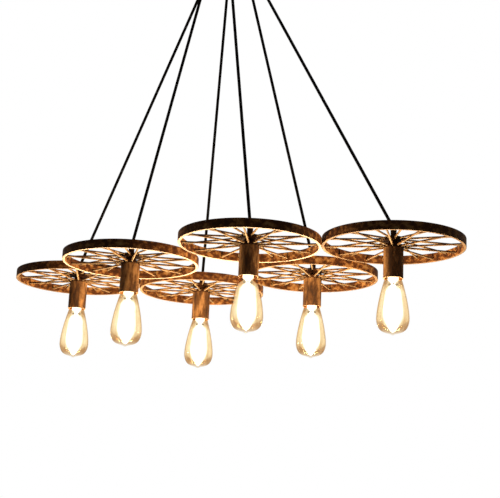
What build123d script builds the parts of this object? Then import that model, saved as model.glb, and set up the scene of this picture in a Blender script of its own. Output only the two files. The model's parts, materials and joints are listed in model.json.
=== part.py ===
"""Wrought iron chandelier: six spoked wheels hung in a ring from one ceiling canopy.

Each wheel has a two-flange hub, a socket cup and an Edison lamp under the hub, and hangs on its own cord.
Millimetres, +Z up. The origin is the middle of the ceiling bracket, on the ceiling.
"""

import os
from math import atan2, cos, degrees, radians, sin, sqrt, tan

from build123d import *

# Rim: a flat iron band rolled into a hoop
rim_radius = 140.0
rim_height = 18.0
rim_wall = 5.5
rim_edge_round = 0.6
rim_gap = 0.4  # air between two rims that lean together

# Spokes: round rods, one row from each hub flange
spokes_per_flange = 12
spoke_radius = 2.0
spoke_root = 7.0  # length of a rod inside its flange
spoke_tip = 2.5  # length of a rod inside the rim
spoke_fit = 0.1  # clearance round a rod and past its ends
spoke_row_spacing = 6.0  # between the two rows of holes in the rim

# Hub: a turned spool with a bore for the cord and a threaded spigot below
lower_flange_radius = 19.5
upper_flange_radius = 21.5
flange_thickness = 6.0
flange_edge_round = 0.8
hub_height = 20.0
barrel_radius = 10.0
hub_bore_radius = 4.0
spigot_radius = 7.0
spigot_length = 10.0

# Socket cup: a plain deep cup clamped under the hub
cup_radius = 19.5
cup_length = 61.0
cup_wall = 1.5
cup_shoulder_round = 1.2
thread_fit = 0.15  # clearance all round a threaded piece

# Lampholder: insulating body with a brass screw shell
holder_radius = 16.4
holder_length = 52.0
holder_entry_depth = 9.0
terminal_room_radius = 11.0
contact_floor = 4.0
shell_wall = 0.5
shell_length = 22.5

# Lamp: pear-shaped filament bulb with an Edison cap
cap_radius = 13.15
cap_length = 22.0
cap_wall = 0.6
cap_insulator_radius = 8.0
cap_insulator_length = 2.7
contact_radius = 4.8
contact_length = 2.0
cap_depth = 4.0  # lower edge of the cap above the mouth of the cup
screw_clearance = 0.35  # round the cap inside the screw shell
contact_gap = 0.3  # above the lamp's contact
glass_wall = 1.0
glass_radius = 32.0
glass_neck_radius = 16.4  # at the mouth of the cup
glass_length = 111.0  # below the mouth of the cup
glass_belly_depth = 78.0  # widest place, below the mouth of the cup
glass_side_radius = 26.0
glass_side_depth = 36.0
glass_round_radius = 20.0
glass_round_depth = 103.5
glass_flare_way = (0.6, -0.4)  # slopes of the outline at the cap, at the mouth of the cup and at the tip
glass_neck_way = (0.36, -1.0)
glass_tip_way = (-1.0, -0.45)
glass_seal_height = 8.0  # neck inside the cap
glass_seal_clearance = 0.4
stem_radius = 4.5
stem_length = 38.0

# Cords and their grips
cord_radius = 3.25
cord_fit = 0.15
grip_radius = 6.0
grip_height = 20.0
grip_dome = 1.5
grip_stem_radius = 5.0
grip_stem_length = 8.0
grip_bite = 4.0  # length of the cord inside its grip
ball_radius = 8.0  # stop on the cord's upper end, which swivels in its grommet
ball_fit = 0.3
swing_room = 37.0  # steepest lean of a cord in its grommet, in degrees

# Canopy, with a ring of cord outlets, and the bracket that holds it to the ceiling
canopy_radius = 60.0
canopy_depth = 25.0
canopy_wall = 1.2
canopy_corner = 4.0
outlet_circle = 44.0
grommet_throat = 7.4
grommet_barrel = 10.8
grommet_flange_radius = 12.2
grommet_flange = 1.0
grommet_fit = 0.1
bracket_length = 108.0
bracket_width = 24.0
bracket_thickness = 2.0
mount_spacing = 70.0
mount_slot_length = 14.0
mount_slot_width = 5.2
stud_radius = 2.0
stud_spacing = 92.0
stud_length = 31.0
stud_fit = 0.12
nut_radius = 4.5
nut_height = 8.0
terminal_block_size = (40.0, 18.0, 14.0)
terminal_screw_pitch = 12.0
terminal_screw_radius = 2.2
terminal_screw_depth = 6.0

# Wheels: where the ring hangs, and each wheel's drop to the underside of its rim,
# its outlet in the canopy and the turn of its spokes, in degrees
ring_middle = (18.0, 10.0)
wheel_names = ("a", "b", "c", "d", "e", "f")
rim_drop = {"a": 732.0, "b": 740.0, "c": 726.0, "d": 744.0, "e": 732.0, "f": 718.0}
outlet_angle = {"a": 180.0, "b": 240.0, "c": 300.0, "d": 120.0, "e": 60.0, "f": 0.0}
spoke_turn = {"a": 5.0, "b": 12.0, "c": 24.0, "d": 20.0, "e": 9.0, "f": 16.0}

# Four wheels stand in a square and one more nests against each end of it
half_pitch = rim_radius + rim_gap / 2
end_reach = half_pitch * (1 + sqrt(3))
wheel_offset = {
    "a": (-end_reach, 0.0),
    "b": (-half_pitch, -half_pitch),
    "c": (half_pitch, -half_pitch),
    "d": (-half_pitch, half_pitch),
    "e": (half_pitch, half_pitch),
    "f": (end_reach, 0.0),
}

# Heights above the underside of the rim, and radii worked out from the sizes above
rim_inside = rim_radius - rim_wall
flange_heights = (flange_thickness / 2, hub_height - flange_thickness / 2)
flange_radii = (lower_flange_radius, upper_flange_radius)
row_heights = ((rim_height - spoke_row_spacing) / 2, (rim_height + spoke_row_spacing) / 2)
holder_top = -cup_wall
shell_inside = cap_radius + screw_clearance
holder_bore = shell_inside + shell_wall + spoke_fit
mouth = -cup_length
lamp_contact = mouth + cap_depth + cap_length + cap_insulator_length + contact_length
grommet_top = -canopy_depth + canopy_wall + grommet_fit + grommet_flange
grommet_bottom = -canopy_depth - grommet_fit - grommet_flange
grommet_mouth = grommet_throat + (grommet_top - grommet_bottom) * tan(radians(swing_room))
ball_height = grommet_top + sqrt((ball_radius + ball_fit) ** 2 - grommet_throat**2)

os.makedirs("parts", exist_ok=True)


def save(part, name):
    """Label a finished piece and write it as its own file."""
    part.label = name
    export_step(part, f"parts/{name}.step")


def spoke_rods(clearance, mode):
    """Both rows of spokes, or with a clearance the holes that seat them."""
    for row, (flange_radius, start, end) in enumerate(zip(flange_radii, flange_heights, row_heights)):
        slope = atan2(end - start, rim_inside - flange_radius)
        inner = flange_radius - spoke_root - clearance
        outer = rim_inside + spoke_tip + clearance
        inner_height = start - (flange_radius - inner) * tan(slope)
        step = 360.0 / spokes_per_flange
        for number in range(spokes_per_flange):
            angle = (number + row / 2) * step
            place = (inner * cos(radians(angle)), inner * sin(radians(angle)), inner_height)
            with Locations(Location(place, (0, 0, angle))):
                Cylinder(
                    spoke_radius + clearance,
                    (outer - inner) / cos(slope),
                    rotation=(0, 90 - degrees(slope), 0),
                    align=(Align.CENTER, Align.CENTER, Align.MIN),
                    mode=mode,
                )


# Rim
with BuildPart() as rim:
    with BuildSketch() as hoop:
        Circle(rim_radius)
        Circle(rim_inside, mode=Mode.SUBTRACT)
    extrude(amount=rim_height)
    fillet(rim.edges().filter_by(GeomType.CIRCLE), rim_edge_round)
    spoke_rods(spoke_fit, Mode.SUBTRACT)

# Spokes
with BuildPart() as spokes:
    spoke_rods(0.0, Mode.ADD)

# Hub
with BuildPart() as hub:
    with BuildSketch(Plane.XZ) as spool:
        with BuildLine():
            Polyline(
                (hub_bore_radius, -spigot_length),
                (spigot_radius, -spigot_length),
                (spigot_radius, 0),
                (lower_flange_radius, 0),
                (lower_flange_radius, flange_thickness),
                (barrel_radius, flange_thickness),
                (barrel_radius, hub_height - flange_thickness),
                (upper_flange_radius, hub_height - flange_thickness),
                (upper_flange_radius, hub_height),
                (grip_stem_radius + thread_fit, hub_height),
                (grip_stem_radius + thread_fit, hub_height - grip_stem_length - thread_fit),
                (hub_bore_radius, hub_height - grip_stem_length - thread_fit),
                close=True,
            )
        make_face()
    revolve(axis=Axis.Z)
    rounded = hub.edges().filter_by(GeomType.CIRCLE)
    rounded = rounded.filter_by(lambda edge: edge.radius > (barrel_radius + lower_flange_radius) / 2)
    fillet(rounded, flange_edge_round)
    spoke_rods(spoke_fit, Mode.SUBTRACT)

# Socket cup
with BuildPart() as socket_cup:
    Cylinder(cup_radius, cup_length, align=(Align.CENTER, Align.CENTER, Align.MAX))
    fillet(socket_cup.edges().group_by(Axis.Z)[-1], cup_shoulder_round)
    offset(amount=-cup_wall, openings=socket_cup.faces().sort_by(Axis.Z)[0])
    with BuildSketch() as spigot_hole:
        Circle(spigot_radius + thread_fit)
    extrude(amount=-2 * cup_wall, mode=Mode.SUBTRACT)

# Lampholder: the insulating body and the screw shell inside it
with BuildPart() as lampholder:
    floor_top = lamp_contact + contact_gap + contact_floor
    with BuildSketch(Plane.XZ) as body_profile:
        with BuildLine():
            Polyline(
                (spigot_radius + thread_fit, holder_top),
                (holder_radius, holder_top),
                (holder_radius, holder_top - holder_length),
                (holder_bore, holder_top - holder_length),
                (holder_bore, lamp_contact + contact_gap),
                (0, lamp_contact + contact_gap),
                (0, floor_top),
                (terminal_room_radius, floor_top),
                (terminal_room_radius, holder_top - holder_entry_depth),
                (spigot_radius + thread_fit, holder_top - holder_entry_depth),
                close=True,
            )
        make_face()
    revolve(axis=Axis.Z)
    with BuildSketch(Plane.XY.offset(lamp_contact + contact_gap - spoke_fit)) as shell_ring:
        Circle(shell_inside + shell_wall)
        Circle(shell_inside, mode=Mode.SUBTRACT)
    extrude(amount=-shell_length)

# Lamp glass: the envelope with its neck sealed in the cap, and the glass stem inside
seal_radius = cap_radius - cap_wall - glass_seal_clearance


def envelope(inset):
    """Revolved lamp profile, smaller all round by the inset."""
    neck_top = mouth + cap_depth + glass_seal_height - inset
    belly = mouth - glass_belly_depth
    tip = mouth - glass_length + inset
    with BuildSketch(Plane.XZ) as profile:
        with BuildLine():
            top = Line((0, neck_top), (seal_radius - inset, neck_top))
            neck = Line(top @ 1, (seal_radius - inset, mouth + cap_depth))
            flare = Spline(
                neck @ 1,
                (glass_neck_radius - inset, mouth),
                tangents=(glass_flare_way, glass_neck_way),
            )
            side = Spline(
                flare @ 1,
                (glass_side_radius - inset, mouth - glass_side_depth),
                (glass_radius - inset, belly),
                tangents=(glass_neck_way, (0, -1)),
            )
            bowl = Spline(
                side @ 1,
                (glass_round_radius - inset, mouth - glass_round_depth + inset / 2),
                (0, tip),
                tangents=((0, -1), glass_tip_way),
            )
            Line(bowl @ 1, top @ 0)
        make_face()
    revolve(profile.sketch, axis=Axis.Z, mode=Mode.SUBTRACT if inset else Mode.ADD)


with BuildPart() as bulb_glass:
    envelope(0.0)
    envelope(glass_wall)
    with BuildSketch(Plane.XY.offset(mouth + cap_depth + glass_seal_height - glass_wall / 2)) as stem:
        Circle(stem_radius)
    extrude(amount=-stem_length)

# Lamp cap: a thin brass shell closed by the insulator and the contact
with BuildPart() as bulb_cap:
    cap_foot = mouth + cap_depth
    cap_head = cap_foot + cap_length
    with BuildSketch(Plane.XZ) as cap_profile:
        with BuildLine():
            Polyline(
                (cap_radius - cap_wall, cap_foot),
                (cap_radius, cap_foot),
                (cap_radius, cap_head),
                (cap_insulator_radius, cap_head + cap_insulator_length),
                (contact_radius, cap_head + cap_insulator_length),
                (contact_radius, lamp_contact),
                (0, lamp_contact),
                (0, cap_head - cap_wall),
                (cap_radius - cap_wall, cap_head - cap_wall),
                close=True,
            )
        make_face()
    revolve(axis=Axis.Z)


def cord_grip(hub_top, cord_way):
    """Grip screwed into the hub, with a slanting mouth where the cord leaves it."""
    grip_top = hub_top + Vector(0, 0, grip_height)
    with BuildPart(Plane(hub_top)) as grip:
        Cylinder(grip_radius, grip_height, align=(Align.CENTER, Align.CENTER, Align.MIN))
        fillet(grip.edges().group_by(Axis.Z)[-1], grip_dome)
        Cylinder(grip_stem_radius, grip_stem_length, align=(Align.CENTER, Align.CENTER, Align.MAX))
        with BuildSketch(Plane(grip_top, z_dir=cord_way)) as slanting_mouth:
            Circle(cord_radius + cord_fit)
        extrude(amount=grip_bite + cord_fit, both=True, mode=Mode.SUBTRACT)
    return grip.part


def cord(grip_top, cord_way, cord_run):
    """Taut cord from its grip to the ball that stops it inside the canopy."""
    with BuildPart(Plane(grip_top - cord_way * grip_bite, z_dir=cord_way)) as line:
        length = grip_bite + cord_run
        Cylinder(cord_radius, length, align=(Align.CENTER, Align.CENTER, Align.MIN))
        with Locations((0, 0, length)):
            Sphere(ball_radius)
    return line.part


# One pendant after another: the wheel's pieces in place, then the grip and the cord that fit it
wheel_pieces = {
    "rim": rim.part,
    "spokes": spokes.part,
    "hub": hub.part,
    "socket_cup": socket_cup.part,
    "lampholder": lampholder.part,
    "bulb_glass": bulb_glass.part,
    "bulb_cap": bulb_cap.part,
}
for name in wheel_names:
    wheel_x = ring_middle[0] + wheel_offset[name][0]
    wheel_y = ring_middle[1] + wheel_offset[name][1]
    wheel_place = Location((wheel_x, wheel_y, -rim_drop[name]), (0, 0, spoke_turn[name]))
    for piece, shape in wheel_pieces.items():
        save(shape.moved(wheel_place), f"{piece}_{name}")
    hub_top = Vector(wheel_x, wheel_y, hub_height - rim_drop[name])
    grip_top = hub_top + Vector(0, 0, grip_height)
    turn = radians(outlet_angle[name])
    ball = Vector(outlet_circle * cos(turn), outlet_circle * sin(turn), ball_height)
    cord_way = (ball - grip_top).normalized()
    cord_run = (ball - grip_top).length
    save(cord_grip(hub_top, cord_way), f"cord_grip_{name}")
    save(cord(grip_top, cord_way, cord_run), f"cord_{name}")
    print(f"cord_{name}: {cord_run:.1f} mm from its grip to its ball")

# Canopy
with BuildPart() as canopy:
    Cylinder(canopy_radius, canopy_depth, align=(Align.CENTER, Align.CENTER, Align.MAX))
    fillet(canopy.edges().group_by(Axis.Z)[0], canopy_corner)
    offset(amount=-canopy_wall, openings=canopy.faces().sort_by(Axis.Z)[-1])
    with BuildSketch(Plane.XY.offset(-canopy_depth)) as canopy_holes:
        with PolarLocations(outlet_circle, len(wheel_names)):
            Circle(grommet_barrel + grommet_fit)
        with GridLocations(0, stud_spacing, 1, 2):
            Circle(stud_radius + stud_fit)
    extrude(amount=2 * canopy_wall, mode=Mode.SUBTRACT)
save(canopy.part, "canopy")

# Grommets: a bush in every outlet, with a flange each side of the plate and a bore that widens downwards
with BuildPart() as canopy_grommets:
    with BuildSketch(Plane.XZ) as bush_profile:
        with BuildLine():
            Polyline(
                (grommet_mouth, grommet_bottom),
                (grommet_flange_radius, grommet_bottom),
                (grommet_flange_radius, grommet_bottom + grommet_flange),
                (grommet_barrel, grommet_bottom + grommet_flange),
                (grommet_barrel, grommet_top - grommet_flange),
                (grommet_flange_radius, grommet_top - grommet_flange),
                (grommet_flange_radius, grommet_top),
                (grommet_throat, grommet_top),
                close=True,
            )
        make_face()
    bush = revolve(axis=Axis.Z, mode=Mode.PRIVATE)
    with PolarLocations(outlet_circle, len(wheel_names)):
        add(bush)
save(canopy_grommets.part, "canopy_grommets")

# Ceiling bracket: a flat bar with slots for the ceiling screws and holes for the canopy's studs
with BuildPart() as ceiling_bracket:
    with BuildSketch() as bar:
        RectangleRounded(bracket_width, bracket_length, bracket_width / 4)
        with GridLocations(0, mount_spacing, 1, 2):
            SlotOverall(mount_slot_length, mount_slot_width, rotation=90, mode=Mode.SUBTRACT)
        with GridLocations(0, stud_spacing, 1, 2):
            Circle(stud_radius + stud_fit, mode=Mode.SUBTRACT)
    extrude(amount=-bracket_thickness)
save(ceiling_bracket.part, "ceiling_bracket")

# Canopy studs and the domed nuts under the canopy
with BuildPart() as canopy_studs:
    with GridLocations(0, stud_spacing, 1, 2):
        Cylinder(stud_radius, stud_length, align=(Align.CENTER, Align.CENTER, Align.MAX))
save(canopy_studs.part, "canopy_studs")

with BuildPart() as canopy_nuts:
    with BuildSketch(Plane.XY.offset(-canopy_depth)) as nut_outline:
        with GridLocations(0, stud_spacing, 1, 2):
            RegularPolygon(nut_radius, 6)
    extrude(amount=-nut_height / 2)
    with Locations(Plane.XY.offset(-canopy_depth - nut_height / 2)):
        with GridLocations(0, stud_spacing, 1, 2):
            Sphere(nut_height / 2)
    with BuildSketch(Plane.XY.offset(-canopy_depth)) as nut_thread:
        with GridLocations(0, stud_spacing, 1, 2):
            Circle(stud_radius + stud_fit)
    extrude(amount=canopy_depth - stud_length - stud_fit, mode=Mode.SUBTRACT)
save(canopy_nuts.part, "canopy_nuts")

# Terminal block under the bracket, with its row of screw wells
with BuildPart() as terminal_block:
    with Locations((0, 0, -bracket_thickness)):
        Box(*terminal_block_size, align=(Align.CENTER, Align.CENTER, Align.MAX))
    with BuildSketch(Plane.XY.offset(-bracket_thickness - terminal_block_size[2])) as screw_wells:
        with GridLocations(terminal_screw_pitch, 0, 3, 1):
            Circle(terminal_screw_radius)
    extrude(amount=terminal_screw_depth, mode=Mode.SUBTRACT)
save(terminal_block.part, "terminal_block")
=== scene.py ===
"""Wheel chandelier: rusted iron wheels, lit amber lamps and black cords on a white ground.

Metres, +Z up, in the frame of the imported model: the ceiling is at z = 0.
"""

import json
from math import cos, pi, radians, sin

import bmesh
import bpy
from mathutils import Matrix, Vector


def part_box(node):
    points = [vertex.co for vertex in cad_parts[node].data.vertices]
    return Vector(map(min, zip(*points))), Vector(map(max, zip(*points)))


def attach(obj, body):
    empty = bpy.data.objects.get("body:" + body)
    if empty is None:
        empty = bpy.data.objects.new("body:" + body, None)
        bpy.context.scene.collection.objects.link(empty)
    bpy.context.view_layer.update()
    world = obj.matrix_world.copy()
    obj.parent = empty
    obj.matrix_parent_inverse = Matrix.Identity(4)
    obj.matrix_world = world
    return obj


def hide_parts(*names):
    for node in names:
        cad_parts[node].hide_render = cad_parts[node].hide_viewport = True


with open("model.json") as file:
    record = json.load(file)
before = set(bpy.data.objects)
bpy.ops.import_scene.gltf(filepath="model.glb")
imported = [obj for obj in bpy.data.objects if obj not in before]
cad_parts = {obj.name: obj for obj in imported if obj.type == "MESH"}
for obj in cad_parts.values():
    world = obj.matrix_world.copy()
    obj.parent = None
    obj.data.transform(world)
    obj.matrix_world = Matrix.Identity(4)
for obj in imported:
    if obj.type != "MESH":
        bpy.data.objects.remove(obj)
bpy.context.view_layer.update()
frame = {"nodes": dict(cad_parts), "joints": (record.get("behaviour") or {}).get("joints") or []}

# Wheels, the rims whose worn undersides also carry a painted glint of the lamps behind them, and the balls
# on which the pendants swing
WHEELS = "abcdef"
PAINTED_GLINT_RIMS = ("rim_b", "rim_c")
HINGES = [joint for joint in frame["joints"] if joint["type"] == "hinge"]
BALLS = {hinge["name"][-1]: Vector(hinge["pos_m"]) for hinge in HINGES}

# Camera, fitted to the six rims: the photograph is 500 pixels wide
PHOTO_WIDTH = 500
FOCAL_PIXELS = 1109
SENSOR = 36.0
CAMERA_PLACE = Vector((1.195, -1.946, -1.2545))
CAMERA_HEADING = radians(29.69)
CAMERA_PITCH = radians(14.03)
CAMERA_ROLL = radians(2.37)

# Cords
CORD_RADIUS = 0.00325
CORD_ROUNDING = 5
CORD_ORDER = 3
STRAIGHT_END = 12 * CORD_RADIUS
GRIP_BITE = 0.004
BALL_RADIUS = 0.008
BALL_RINGS = 16
BALL_SIDES = 32

# Lamps: outline of the glass from neck to tip, as radius and height above the mouth of the cup
GLASS_WALL = 0.001
GLASS_OUTLINE = (
    (0.01215, 0.012),
    (0.01215, 0.004),
    (0.0144, 0.0018),
    (0.0166, -0.0005),
    (0.0216, -0.018),
    (0.026, -0.036),
    (0.0302, -0.059),
    (0.032, -0.078),
    (0.0305, -0.0895),
    (0.0262, -0.0985),
    (0.0195, -0.104),
    (0.0105, -0.1072),
    (0.0052, -0.1088),
    (0.0022, -0.1106),
    (0.0, -0.111),
)
LAMP_STEPS = 4
LAMP_SIDES = 64
JOIN_DISTANCE = 1e-6

# Depth of the amber from the tip of the glass (0) to its neck (1), deepest at the foot and below the neck
# as a painted reflection of the dark iron around, and the streaks that shift it
AMBER_AND_PAINTED_REFLECTION_DEPTH = (
    (0.035, 0.05),
    (0.06, 0.45),
    (0.1, 1.0),
    (0.17, 0.9),
    (0.25, 0.35),
    (0.35, 0.1),
    (0.68, 0.05),
    (0.75, 0.6),
    (0.8, 0.88),
    (0.87, 0.7),
)
AMBER_STREAKS = 1.1
STREAKS_PER_METRE = (150, 150, 14)

# Amber where a wall of the glass faces the eye (0) and at its outline (1), pale, and deepened by the
# painted reflection
PALE_AMBER = (
    (0.15, (1.0, 0.995, 0.98)),
    (0.4, (0.98, 0.933, 0.83)),
    (0.65, (0.96, 0.883, 0.755)),
    (0.85, (0.837, 0.728, 0.583)),
)
PAINTED_REFLECTION_AMBER = (
    (0.08, (0.985, 0.97, 0.938)),
    (0.25, (0.835, 0.715, 0.56)),
    (0.65, (0.83, 0.705, 0.552)),
    (0.85, (0.748, 0.64, 0.51)),
)

# Colour of the tip, and shine of the glass from where it faces the eye to its outline
TIP_AMBER = (0.96, 0.927, 0.877)
TIP_SHARE = ((0.045, 1.0), (0.085, 0.0))
GLASS_SHINE = (1.0, 0.95, 0.88)
GLASS_ROUGH = 0.03
SHINE_SHARE = ((0.2, 0.015), (1.0, 0.06))

# Glow of a lit lamp: a bright body round the filament
GLOW_OUTLINE = (
    (0.0, 0.006),
    (0.0095, 0.0055),
    (0.0102, 0.001),
    (0.0102, -0.0035),
    (0.0065, -0.0055),
    (0.0048, -0.0085),
    (0.0048, -0.013),
    (0.0098, -0.0165),
    (0.0135, -0.0215),
    (0.0158, -0.03),
    (0.0172, -0.042),
    (0.0188, -0.059),
    (0.0192, -0.07),
    (0.0181, -0.0785),
    (0.015, -0.0865),
    (0.0108, -0.0935),
    (0.0068, -0.0992),
    (0.0036, -0.1034),
    (0.0, -0.1054),
)
GLOW_STRENGTH = 3.5
GLOW_PATCH = (90, 90, 30)

# Halo of thin shells between glow and glass: each one's share of the room, and its top
HALO_SHELLS = ((0.3, -0.014), (0.6, -0.014), (0.88, -0.0025))
HALO_FOOT = -0.094
HALO_FADE = 0.012
HALO_COVER = 0.35
HALO_STRENGTH = 1.2

# Light that a lamp gives
LAMP_POWER = 6.5
LAMP_COLOUR = (1.0, 0.72, 0.42)
LAMP_LIGHT_HEIGHT = -0.07
LAMP_LIGHT_RADIUS = 0.03

# Inside of a lamp: glass stem, support arms and wires, and a caged filament
STEM_OUTLINE = (
    (0.0, 0.006),
    (0.0098, 0.006),
    (0.0062, -0.002),
    (0.0042, -0.010),
    (0.0036, -0.018),
    (0.0014, -0.021),
    (0.0013, -0.050),
    (0.0013, -0.078),
    (0.0024, -0.081),
    (0.0, -0.083),
)
STEM_STEPS = 3
STEM_SIDES = 32
STEM_RADIUS = 0.0013
CAGE_LOOPS = 7
CAGE_TOP = (0.0085, -0.026)
CAGE_FOOT = (0.0125, -0.079)
FILAMENT_RADIUS = 0.0003
FILAMENT_STRENGTH = 12.0
FILAMENT_PATCH = (200, 200, 200)
WIRE_RADIUS = 0.0002
WIRE_SIDES = 6
ARM_COUNT = 6
ARM_REACH = (0.003, 0.0096)
ARM_HEIGHT = -0.0115
ARM_RADIUS = 0.0013

# Iron: blotches and grain per metre, and wear with painted lamplight that grows as the normal turns down
IRON_PATCH = (80, 80, 105)
CUP_PATCH = (85, 85, 22)
IRON_GRAIN = (420, 420, 420)
GRAIN_SHIFT = 0.08
IRON_ROUGH = (0.6, 0.8)
IRON_GLOSS = 0.03
IRON_BUMP = (0.4, 0.00015)
WEAR_AND_PAINTED_LIGHT_RANGE = (-0.45, -0.95)
WEAR_AND_PAINTED_LIGHT_SHARE = (0.6, 1.2)

# Paint, plating and plastic, also with blotches and grain per metre
COAT_PATCH = (60, 60, 60)
COAT_GRAIN = (900, 900, 900)
BRUSHED_GRAIN = (900, 40, 900)
COAT_ROUGH = (0.35, 0.5)
STEEL_ROUGH = (0.3, 0.45)
WIRE_ROUGH = (0.3, 0.4)
BRASS_ROUGH = (0.2, 0.35)
COAT_BUMP = (0.3, 0.0001)

# Sleeve of the cords
BRAID_RIBS = 260.0
BRAID_DISTORTION = 1.5
BRAID_BUMP = (0.5, 0.0003)
BRAID_ROUGH = 0.9
BRAID_GLOSS = 0.02

# Share that each finer layer of a noise pattern keeps
NOISE_ROUGHNESS = 0.6

# Palette
DARK = (0.013, 0.0053, 0.0022)
UMBER = (0.02, 0.0076, 0.0029)
BROWN = (0.045, 0.0146, 0.0043)
RUST = (0.14, 0.062, 0.0185)
GOLD = (0.175, 0.112, 0.047)
SMOKE = (0.03, 0.0155, 0.0085)
TAN = (0.072, 0.032, 0.0122)
COPPER = (0.22, 0.112, 0.042)
# Colours of faces turned down: wear with painted lamplight from below, and on the spokes a painted
# highlight
RIM_WEAR_AND_PAINTED_LIGHT = (0.19, 0.13, 0.08)
# Undersides of rims b and c: wear with a painted glint of the lamps behind them
RIM_WEAR_AND_PAINTED_GLINT = (0.41, 0.315, 0.24)
CUP_LIP_WEAR_AND_PAINTED_LIGHT = (0.14, 0.1, 0.058)
ROD_WEAR_AND_PAINTED_HIGHLIGHT = (0.165, 0.125, 0.075)
BLACK = (0.03, 0.025, 0.022)
SOOT = (0.02, 0.016, 0.014)
INK = (0.006, 0.0036, 0.0016)
DEEP_INK = (0.002, 0.0012, 0.0006)
RIB_BLACK = (0.006, 0.005, 0.005)
GROOVE_BLACK = (0.002, 0.002, 0.002)
STEEL = (0.6, 0.6, 0.58)
DULL_STEEL = (0.5, 0.5, 0.49)
TARNISH = (0.4, 0.36, 0.3)
BRASS = (0.72, 0.5, 0.22)
DULL_BRASS = (0.6, 0.4, 0.16)
IVORY = (0.82, 0.8, 0.74)
DULL_IVORY = (0.76, 0.74, 0.68)
GLOW_WHITE = (1.0, 0.95, 0.86)
GLOW_CREAM = (1.0, 0.93, 0.82)
HALO_YELLOW = (1.0, 0.9, 0.65)
HALO_AMBER = (1.0, 0.86, 0.58)
HOT_YELLOW = (1.0, 0.8, 0.5)
HOT_ORANGE = (1.0, 0.62, 0.25)
FLOOR_PALE = (0.9, 0.9, 0.89)
FLOOR_GREY = (0.86, 0.86, 0.85)
WHITE = (1.0, 1.0, 1.0)
UNLIT = (0.0, 0.0, 0.0)

# Iron finishes: places in the pattern of blotches, with their colours
BLACK_IRON = ((0.4, DARK), (0.75, BROWN))
RUST_IRON = ((0.36, UMBER), (0.49, BROWN), (0.6, RUST), (0.74, GOLD))
RUBBED_IRON = ((0.32, UMBER), (0.44, BROWN), (0.54, RUST), (0.68, GOLD))
STREAKED_IRON = ((0.36, SMOKE), (0.48, TAN), (0.64, COPPER))
# Near-black painted shade for the arms inside the lamp, which stand dark against the glow
PAINTED_SHADE_IRON = ((0.35, DEEP_INK), (0.65, INK))

# The same for the cords' ribs, the filament and the floor, and the two places of any other mottle
SLEEVE = ((0.2, GROOVE_BLACK), (0.9, RIB_BLACK))
HOT_METAL = ((0.3, HOT_ORANGE), (0.7, HOT_YELLOW))
FLOOR_MOTTLE = ((0.3, FLOOR_GREY), (0.7, FLOOR_PALE))
MOTTLE = (0.35, 0.65)

# Studio
SOFT_COLOUR = (1.0, 0.99, 0.97)
SOFT_STRENGTH = 0.155
FLOOR_HEIGHT = -4.5
FLOOR_SIDE = 300.0
FLOOR_PATCH = (3, 3, 3)
FLOOR_WHITE = 0.9
FLOOR_FADE = (4.0, 30.0)
OVERHEAD_PLACE = (0.018, 0.01, 2.5)
OVERHEAD_SIZE = 1.2
OVERHEAD_POWER = 45.0


def place(name, data):
    """New object in the scene."""
    made = bpy.data.objects.new(name, data)
    bpy.context.scene.collection.objects.link(made)
    return made


def make_camera():
    """Camera at the photograph's place, turned by its heading, pitch and roll."""
    data = bpy.data.cameras.new("camera")
    data.sensor_fit = "HORIZONTAL"
    data.sensor_width = SENSOR
    data.lens = SENSOR * FOCAL_PIXELS / PHOTO_WIDTH
    level_right = Vector((cos(CAMERA_HEADING), sin(CAMERA_HEADING), 0))
    level_ahead = Vector((-sin(CAMERA_HEADING), cos(CAMERA_HEADING), 0))
    ahead = level_ahead * cos(CAMERA_PITCH) + Vector((0, 0, sin(CAMERA_PITCH)))
    above = Vector((0, 0, cos(CAMERA_PITCH))) - level_ahead * sin(CAMERA_PITCH)
    right = level_right * cos(CAMERA_ROLL) + above * sin(CAMERA_ROLL)
    up = above * cos(CAMERA_ROLL) - level_right * sin(CAMERA_ROLL)
    turned = Matrix((right, up, -ahead)).transposed().to_4x4()
    camera = place("camera", data)
    camera.matrix_world = Matrix.Translation(CAMERA_PLACE) @ turned
    bpy.context.scene.camera = camera


# Shader nodes


def new_material(name):
    """Material with an empty node tree, and that tree."""
    made = bpy.data.materials.new(name)
    made.use_nodes = True
    made.node_tree.nodes.clear()
    return made, made.node_tree


def feed(tree, socket, value):
    """Link an output to a socket, or set the socket to a number or a colour."""
    if isinstance(value, bpy.types.NodeSocket):
        tree.links.new(value, socket)
    elif socket.type == "RGBA" and len(value) == 3:
        socket.default_value = (*value, 1.0)
    else:
        socket.default_value = value


def node(tree, kind, **inputs):
    """Add a shader node, with its inputs set or linked by name."""
    made = tree.nodes.new(kind)
    for name, value in inputs.items():
        feed(tree, made.inputs[name.replace("_", " ")], value)
    return made


def ramp(tree, factor, *stops):
    """Colour ramp through (place, colour) stops."""
    made = node(tree, "ShaderNodeValToRGB", Fac=factor)
    elements = made.color_ramp.elements
    while len(elements) < len(stops):
        elements.new(0.5)
    for element, (spot, colour) in zip(elements, stops):
        element.position = spot
        element.color = (*colour, 1.0)
    return made.outputs["Color"]


def grey_ramp(tree, factor, stops):
    """Ramp of numbers through (place, number) stops."""
    return ramp(tree, factor, *((spot, (number, number, number)) for spot, number in stops))


def calculate(tree, operation, first, second):
    """Math node on two values or sockets."""
    made = node(tree, "ShaderNodeMath")
    made.operation = operation
    feed(tree, made.inputs[0], first)
    feed(tree, made.inputs[1], second)
    return made.outputs["Value"]


def mix_colours(tree, share, first, second):
    """Mix of two colours, by the second one's share."""
    return node(tree, "ShaderNodeMixRGB", Fac=share, Color1=first, Color2=second).outputs["Color"]


def mix_shaders(tree, share, first, second):
    """Mix of two shaders, by the second one's share."""
    made = node(tree, "ShaderNodeMixShader", Fac=share)
    feed(tree, made.inputs[1], first)
    feed(tree, made.inputs[2], second)
    return made.outputs["Shader"]


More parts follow.
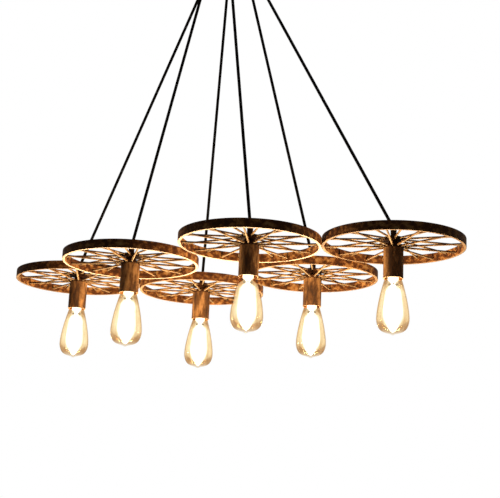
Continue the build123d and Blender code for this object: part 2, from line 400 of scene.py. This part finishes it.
def scaled(tree, value, source=(0.0, 1.0), target=(0.0, 1.0)):
    """Map a value from one range to another, and keep it there."""
    made = node(tree, "ShaderNodeMapRange", Value=value)
    for name, number in zip(("From Min", "From Max", "To Min", "To Max"), (*source, *target)):
        made.inputs[name].default_value = number
    return made.outputs["Result"]


def object_place(tree):
    """Place on the object, in metres."""
    return node(tree, "ShaderNodeTexCoord").outputs["Object"]


def height_of(tree, vector):
    """Upward part of a vector."""
    return node(tree, "ShaderNodeSeparateXYZ", Vector=vector).outputs["Z"]


def noise(tree, scale, detail=5.0):
    """Noise pattern on the object, with a scale per metre along each axis."""
    vector = node(tree, "ShaderNodeMapping", Vector=object_place(tree), Scale=scale).outputs["Vector"]
    made = node(
        tree,
        "ShaderNodeTexNoise",
        Vector=vector,
        Scale=1.0,
        Detail=detail,
        Roughness=NOISE_ROUGHNESS,
    )
    return made.outputs["Fac"]


def bump(tree, height, strength, depth):
    """Normal of a surface roughened by a pattern."""
    return node(tree, "ShaderNodeBump", Height=height, Strength=strength, Distance=depth).outputs["Normal"]


def principled(tree, **inputs):
    """Principled shader on the material's surface."""
    shader = node(tree, "ShaderNodeBsdfPrincipled", **inputs)
    node(tree, "ShaderNodeOutputMaterial", Surface=shader.outputs["BSDF"])


# Materials


def iron(name, stops, patch=IRON_PATCH, wear_and_painted_light=None, gloss=IRON_GLOSS):
    """Patinated iron: blotches of rust on a dark ground, worn and painted brighter where it faces down, as
    if lit by the lamps below.
    """
    made, tree = new_material(name)
    blotches = noise(tree, patch, detail=4.0)
    fine = noise(tree, IRON_GRAIN, detail=3.0)
    shift = scaled(tree, fine, target=(-GRAIN_SHIFT, GRAIN_SHIFT))
    colour = ramp(tree, calculate(tree, "ADD", blotches, shift), *stops)
    if wear_and_painted_light:
        # Faces turned down are made lighter: partly wear, partly painted lamplight from the lamps below
        upward = height_of(tree, node(tree, "ShaderNodeTexCoord").outputs["Normal"])
        facing_down = scaled(tree, upward, source=WEAR_AND_PAINTED_LIGHT_RANGE)
        wear_and_painted_light_share = calculate(tree, "MULTIPLY", facing_down, scaled(tree, blotches, target=WEAR_AND_PAINTED_LIGHT_SHARE))
        colour = mix_colours(tree, wear_and_painted_light_share, colour, wear_and_painted_light)
    principled(
        tree,
        Base_Color=colour,
        Roughness=scaled(tree, fine, target=IRON_ROUGH),
        Specular_IOR_Level=gloss,
        Normal=bump(tree, fine, *IRON_BUMP),
    )
    return made


def coated(name, colour, shade, rough=COAT_ROUGH, metal=0.0, grain=COAT_GRAIN):
    """Painted, plated or moulded surface with a faint mottle and a fine skin."""
    made, tree = new_material(name)
    skin = noise(tree, grain, detail=3.0)
    principled(
        tree,
        Base_Color=ramp(tree, noise(tree, COAT_PATCH), *zip(MOTTLE, (shade, colour))),
        Metallic=metal,
        Roughness=scaled(tree, skin, target=rough),
        Normal=bump(tree, skin, *COAT_BUMP),
    )
    return made


def braid(name):
    """Black textile sleeve: fine crossing ribs round the cord."""
    made, tree = new_material(name)
    wave = node(
        tree,
        "ShaderNodeTexWave",
        Vector=object_place(tree),
        Scale=BRAID_RIBS,
        Distortion=BRAID_DISTORTION,
    )
    ribs = wave.outputs["Fac"]
    principled(
        tree,
        Base_Color=ramp(tree, ribs, *SLEEVE),
        Roughness=BRAID_ROUGH,
        Specular_IOR_Level=BRAID_GLOSS,
        Normal=bump(tree, ribs, *BRAID_BUMP),
    )
    return made


def lamp_glass(name):
    """Clear amber glass that deepens towards its outline, with a painted reflection that deepens it
    towards its foot and its neck.
    """
    made, tree = new_material(name)
    facing = node(tree, "ShaderNodeLayerWeight", Blend=0.5).outputs["Facing"]
    tip, neck = GLASS_OUTLINE[-1][1], GLASS_OUTLINE[0][1]
    along = scaled(tree, height_of(tree, object_place(tree)), source=(tip, neck))
    pattern = noise(tree, STREAKS_PER_METRE, detail=2.0)
    streaks = scaled(tree, pattern, target=(-AMBER_STREAKS, AMBER_STREAKS))
    # Amber deepened at the foot and below the neck: a painted reflection of the dark iron
    depth = calculate(tree, "ADD", grey_ramp(tree, along, AMBER_AND_PAINTED_REFLECTION_DEPTH), streaks)
    depth = node(tree, "ShaderNodeClamp", Value=depth).outputs["Result"]
    tint = mix_colours(tree, depth, ramp(tree, facing, *PALE_AMBER), ramp(tree, facing, *PAINTED_REFLECTION_AMBER))
    tint = mix_colours(tree, grey_ramp(tree, along, TIP_SHARE), tint, TIP_AMBER)
    clear = node(tree, "ShaderNodeBsdfTransparent", Color=tint)
    shine = node(tree, "ShaderNodeBsdfGlossy", Color=GLASS_SHINE, Roughness=GLASS_ROUGH)
    edge = grey_ramp(tree, facing, SHINE_SHARE)
    surface = mix_shaders(tree, edge, clear.outputs["BSDF"], shine.outputs["BSDF"])
    node(tree, "ShaderNodeOutputMaterial", Surface=surface)
    return made


def glow(name, colour, shade, strength, cover):
    """Even light with a faint unevenness, solid or as a thin veil."""
    made, tree = new_material(name)
    uneven = noise(tree, GLOW_PATCH, detail=3.0)
    principled(
        tree,
        Base_Color=UNLIT,
        Roughness=1.0,
        Specular_IOR_Level=0.0,
        Emission_Color=ramp(tree, uneven, *zip(MOTTLE, (shade, colour))),
        Emission_Strength=strength,
        Alpha=cover,
    )
    return made


def hot_wire(name):
    """Glowing filament, a little uneven along its length."""
    made, tree = new_material(name)
    tint = ramp(tree, noise(tree, FILAMENT_PATCH), *HOT_METAL)
    light = node(tree, "ShaderNodeEmission", Color=tint, Strength=FILAMENT_STRENGTH)
    node(tree, "ShaderNodeOutputMaterial", Surface=light.outputs["Emission"])
    return made


# Meshes


def piece(name, mesh, material, body, slot, *replaced):
    """Object from a mesh, riding on a body, with its material and the nodes it stands for."""
    made = place(name, mesh)
    made.data.materials.append(material)
    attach(made, body)
    if replaced:
        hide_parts(*replaced)
    return made


def shaded_mesh(name, work):
    """Mesh with its normals turned outward and its faces shaded smooth."""
    bmesh.ops.recalc_face_normals(work, faces=work.faces)
    mesh = bpy.data.meshes.new(name)
    work.to_mesh(mesh)
    work.free()
    mesh.shade_smooth()
    return mesh


def round_turns(count):
    """Angles that share a full turn evenly."""
    return [2 * pi * index / count for index in range(count)]


def on_circle(turn, radius, height):
    """Point on a level circle about the upright axis."""
    return (radius * cos(turn), radius * sin(turn), height)


def lathe(name, sides, *outlines):
    """Turned mesh from outlines of (radius, height) points."""
    work = bmesh.new()
    turns = round_turns(sides)
    for outline in outlines:
        rings = []
        for radius, height in outline:
            stops = turns if radius else turns[:1]
            rings.append([work.verts.new(on_circle(turn, radius, height)) for turn in stops])
        for above, below in zip(rings, rings[1:]):
            for side in range(sides):
                corners = [above[side % len(above)], below[side % len(below)]]
                corners += [below[(side + 1) % len(below)], above[(side + 1) % len(above)]]
                work.faces.new(list(dict.fromkeys(corners)))
    bmesh.ops.remove_doubles(work, verts=work.verts, dist=JOIN_DISTANCE)
    return shaded_mesh(name, work)


def tube(name, runs, radius):
    """Wires along lists of points, as one mesh of closed tubes."""
    work = bmesh.new()
    turns = round_turns(WIRE_SIDES)
    for points in runs:
        rings = []
        for index, point in enumerate(points):
            behind, ahead = points[max(index - 1, 0)], points[min(index + 1, len(points) - 1)]
            way = (Vector(ahead) - Vector(behind)).normalized()
            across = across - way * across.dot(way) if index else way.orthogonal()
            across = across.normalized()
            other = way.cross(across)
            spots = [Vector(point) + (across * cos(turn) + other * sin(turn)) * radius for turn in turns]
            rings.append([work.verts.new(spot) for spot in spots])
        for above, below in zip(rings, rings[1:]):
            for side in range(WIRE_SIDES):
                after = (side + 1) % WIRE_SIDES
                work.faces.new((above[side], above[after], below[after], below[side]))
        work.faces.new(rings[0])
        work.faces.new(rings[-1])
    return shaded_mesh(name, work)


# Outlines


def smooth_outline(points, steps):
    """Points along a smooth curve through the given ones."""
    dense = []
    for index in range(len(points) - 1):
        before, start = Vector(points[max(index - 1, 0)]), Vector(points[index])
        end, after = Vector(points[index + 1]), Vector(points[min(index + 2, len(points) - 1)])
        leave, arrive = (end - before) / 2, (after - start) / 2
        for step in range(steps):
            part = step / steps
            spot = start * (2 * part**3 - 3 * part**2 + 1) + leave * (part**3 - 2 * part**2 + part)
            spot += end * (3 * part**2 - 2 * part**3) + arrive * (part**3 - part**2)
            dense.append((max(spot.x, 0.0), spot.y))
    return dense + [points[-1]]


def inset_outline(outline, wall):
    """The same outline, moved inwards by a wall."""
    inner = []
    for index, point in enumerate(outline[:-1]):
        way = (Vector(outline[index + 1]) - Vector(outline[max(index - 1, 0)])).normalized()
        spot = Vector(point) + Vector((way.y, -way.x)) * wall
        if spot.x > wall / 2:
            inner.append((spot.x, spot.y))
    return inner + [(0.0, outline[-1][1] + wall)]


def radius_at(outline, height):
    """Radius of an outline at a height, or zero past its ends."""
    for (upper_radius, upper), (lower_radius, lower) in zip(outline, outline[1:]):
        if upper >= height >= lower and upper > lower:
            return lower_radius + (upper_radius - lower_radius) * (height - lower) / (upper - lower)
    return 0.0


def halo_outline(body, share, top):
    """Outline of a shell that lies part of the way from the bright body to the glass."""
    shell = []
    for radius, height in body:
        if HALO_FOOT <= height <= top:
            fade = min(1.0, (top - height) / HALO_FADE, (height - HALO_FOOT) / HALO_FADE)
            room = radius_at(GLASS_OUTLINE, height) - GLASS_WALL - radius
            shell.append((radius + room * share * fade, height))
    return [(0.0, shell[0][1]), *shell, (0.0, shell[-1][1])]


def ball_outline(radius):
    """Half circle from top to bottom."""
    turns = [pi * ring / BALL_RINGS for ring in range(1, BALL_RINGS)]
    return [(0.0, radius), *((radius * sin(turn), radius * cos(turn)) for turn in turns), (0.0, -radius)]


# Cords


def cord_curve(name, route):
    """Round cord along a list of points."""
    data = bpy.data.curves.new(name, "CURVE")
    data.dimensions = "3D"
    data.bevel_depth = CORD_RADIUS
    data.bevel_resolution = CORD_ROUNDING
    data.use_fill_caps = True
    spline = data.splines.new("NURBS")
    spline.points.add(len(route) - 1)
    for point, spot in zip(spline.points, route):
        point.co = (*spot, 1.0)
    spline.order_u = CORD_ORDER
    spline.use_endpoint_u = True
    return data


def make_cord(wheel, cover):
    """Taut cord from its grip to the ball that stops it inside the canopy."""
    low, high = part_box(f"cord_grip_{wheel}")
    grip_top = Vector(((low.x + high.x) / 2, (low.y + high.y) / 2, high.z))
    way = (BALLS[wheel] - grip_top).normalized()
    start = grip_top - way * GRIP_BITE
    route = (start, start + way * STRAIGHT_END, BALLS[wheel] - way * STRAIGHT_END, BALLS[wheel])
    data = cord_curve(f"cord_line_{wheel}", route)
    line = piece(f"cord_line_{wheel}", data, cover, f"pendant_{wheel}", "cord_cover", f"cord_{wheel}")
    mesh = lathe("cord_ball", BALL_SIDES, ball_outline(BALL_RADIUS))
    ball = piece(f"cord_ball_{wheel}", mesh, cover, f"pendant_{wheel}", "cord_cover")
    ball.matrix_world = Matrix.Translation(BALLS[wheel])


# Lamps


def lamp_meshes():
    """Meshes of a lamp's pieces and their slots, with the origin at the mouth of the cup."""
    outer = smooth_outline(GLASS_OUTLINE, LAMP_STEPS)
    inner = inset_outline(outer, GLASS_WALL)
    body = smooth_outline(GLOW_OUTLINE, LAMP_STEPS)
    shells = [halo_outline(body, share, top) for share, top in HALO_SHELLS]
    stem = smooth_outline(STEM_OUTLINE, STEM_STEPS)
    turns = round_turns(2 * CAGE_LOOPS)
    hooks = [on_circle(turn, *(CAGE_FOOT if index % 2 else CAGE_TOP)) for index, turn in enumerate(turns)]
    wires = [(on_circle(turn, STEM_RADIUS, hook[2]), hook) for turn, hook in zip(turns, hooks)]
    arms = [[on_circle(turn, reach, ARM_HEIGHT) for reach in ARM_REACH] for turn in round_turns(ARM_COUNT)]
    return {
        "glass": (lathe("lamp_glass", LAMP_SIDES, [inner[0], *outer], inner), "lamp_glass"),
        "glow": (lathe("lamp_glow", LAMP_SIDES, body), "lamp_glass"),
        "halo": (lathe("lamp_halo", LAMP_SIDES, *shells), "lamp_glass"),
        "stem": (lathe("lamp_stem", STEM_SIDES, stem), "lamp_glass"),
        "arms": (tube("lamp_arms", arms, ARM_RADIUS), "lamp_brass"),
        "wires": (tube("lamp_wires", wires, WIRE_RADIUS), "lamp_brass"),
        "filament": (tube("lamp_filament", [hooks], FILAMENT_RADIUS), "lamp_brass"),
    }


def make_lamp_light(wheel, mouth):
    """Light inside a lamp."""
    light = bpy.data.lights.new(f"lamp_light_{wheel}", "POINT")
    light.energy = LAMP_POWER
    light.color = LAMP_COLOUR
    light.shadow_soft_size = LAMP_LIGHT_RADIUS
    shown = place(f"lamp_light_{wheel}", light)
    shown.matrix_world = mouth @ Matrix.Translation((0, 0, LAMP_LIGHT_HEIGHT))
    shown.visible_camera = False
    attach(shown, f"lamp_{wheel}")


def make_lamp(wheel, looks):
    """Glass, glow, halo, stem, arms, wires, filament and light of one lamp."""
    low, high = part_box(f"socket_cup_{wheel}")
    mouth = Matrix.Translation(((low.x + high.x) / 2, (low.y + high.y) / 2, low.z))
    for part, (mesh, slot) in lamp_meshes().items():
        replaced = (f"bulb_glass_{wheel}",) if part == "glass" else ()
        made = piece(f"lamp_{part}_{wheel}", mesh, looks[part], f"lamp_{wheel}", slot, *replaced)
        made.matrix_world = mouth
        made.visible_shadow = False
    make_lamp_light(wheel, mouth)


# Studio


def looked_at(tree):
    """One where a ray comes from the camera, a reflection or clear glass, and zero for other light."""
    path = node(tree, "ShaderNodeLightPath").outputs
    mirrored = calculate(tree, "MAXIMUM", path["Is Glossy Ray"], path["Is Transmission Ray"])
    return calculate(tree, "MAXIMUM", path["Is Camera Ray"], mirrored)


def floor_paint(name):
    """Pale paint that takes a shadow near the object and fades to the white of the surround."""
    made, tree = new_material(name)
    colour = ramp(tree, noise(tree, FLOOR_PATCH, detail=3.0), *FLOOR_MOTTLE)
    paint = node(tree, "ShaderNodeBsdfDiffuse", Color=colour)
    white = node(tree, "ShaderNodeEmission", Color=WHITE, Strength=1.0)
    away = node(tree, "ShaderNodeVectorMath", Vector=object_place(tree))
    away.operation = "LENGTH"
    fade = scaled(tree, away.outputs["Value"], source=FLOOR_FADE, target=(FLOOR_WHITE, 1.0))
    share = calculate(tree, "MULTIPLY", looked_at(tree), fade)
    surface = mix_shaders(tree, share, paint.outputs["BSDF"], white.outputs["Emission"])
    node(tree, "ShaderNodeOutputMaterial", Surface=surface)
    return made


def make_surround():
    """World that looks white and gives a soft light from all round."""
    world = bpy.data.worlds.new("studio")
    bpy.context.scene.world = world
    world.use_nodes = True
    tree = world.node_tree
    tree.nodes.clear()
    soft = node(tree, "ShaderNodeBackground", Color=SOFT_COLOUR, Strength=SOFT_STRENGTH)
    white = node(tree, "ShaderNodeBackground", Color=WHITE, Strength=1.0)
    both = mix_shaders(tree, looked_at(tree), soft.outputs["Background"], white.outputs["Background"])
    node(tree, "ShaderNodeOutputWorld", Surface=both)


def make_floor():
    """Wide floor far below the lamps."""
    mesh = bpy.data.meshes.new("floor")
    half = FLOOR_SIDE / 2
    corners = [(-half, -half, 0), (half, -half, 0), (half, half, 0), (-half, half, 0)]
    mesh.from_pydata(corners, [], [(0, 1, 2, 3)])
    mesh.materials.append(floor_paint("floor"))
    floor = place("floor", mesh)
    floor.location.z = FLOOR_HEIGHT


def make_overhead():
    """Soft round light above the ceiling's place."""
    light = bpy.data.lights.new("overhead", "AREA")
    light.shape = "DISK"
    light.size = OVERHEAD_SIZE
    light.energy = OVERHEAD_POWER
    overhead = place("overhead", light)
    overhead.location = OVERHEAD_PLACE
    overhead.visible_camera = False


make_camera()
make_surround()
make_floor()
make_overhead()
bpy.context.scene.view_settings.view_transform = "Standard"

finishes = {
    "rim": iron("rim_iron", RUST_IRON, wear_and_painted_light=RIM_WEAR_AND_PAINTED_LIGHT),
    "painted_glint_rim": iron("painted_glint_rim_iron", RUST_IRON, wear_and_painted_light=RIM_WEAR_AND_PAINTED_GLINT),
    "spokes": iron("spoke_iron", RUBBED_IRON, wear_and_painted_light=ROD_WEAR_AND_PAINTED_HIGHLIGHT),
    "hub": iron("hub_iron", BLACK_IRON),
    "socket_cup": iron("cup_iron", STREAKED_IRON, CUP_PATCH, wear_and_painted_light=CUP_LIP_WEAR_AND_PAINTED_LIGHT),
    "cord_grip": iron("grip_iron", BLACK_IRON),
    "lampholder": coated("holder_plastic", BLACK, SOOT),
    "bulb_cap": coated("lamp_brass", BRASS, DULL_BRASS, BRASS_ROUGH, metal=1.0),
    "canopy": coated("canopy_paint", BLACK, SOOT),
    "canopy_grommets": coated("grommet_plastic", SOOT, DARK),
    "ceiling_bracket": coated("bracket_steel", STEEL, DULL_STEEL, STEEL_ROUGH, 1.0, BRUSHED_GRAIN),
    "canopy_studs": coated("stud_steel", STEEL, DULL_STEEL, STEEL_ROUGH, metal=1.0),
    "canopy_nuts": coated("nut_paint", BLACK, SOOT),
    "terminal_block": coated("terminal_plastic", IVORY, DULL_IVORY),
}
for name, part in frame["nodes"].items():
    # A pendant's nodes end in its letter, and those of the ceiling don't
    kind = name[:-2] if name[-2:-1] == "_" else name
    # Rims b and c take a painted glint of the lamps behind them on their worn undersides
    if name in PAINTED_GLINT_RIMS:
        kind = "painted_glint_rim"
    if kind in finishes:
        part.data.materials.clear()
        part.data.materials.append(finishes[kind])

cord_cover = braid("cord_cover")
lamp_looks = {
    "glass": lamp_glass("lamp_glass"),
    "glow": glow("lamp_glow", GLOW_WHITE, GLOW_CREAM, GLOW_STRENGTH, 1.0),
    "halo": glow("lamp_halo", HALO_YELLOW, HALO_AMBER, HALO_STRENGTH, HALO_COVER),
    "stem": lamp_glass("stem_glass"),
    # The arms' near-black colour is painted shade
    "arms": iron("lamp_arms", PAINTED_SHADE_IRON, gloss=0.0),
    "wires": coated("lamp_wires", DULL_STEEL, TARNISH, WIRE_ROUGH, metal=1.0),
    "filament": hot_wire("lamp_filament"),
}
for wheel in WHEELS:
    make_cord(wheel, cord_cover)
    make_lamp(wheel, lamp_looks)
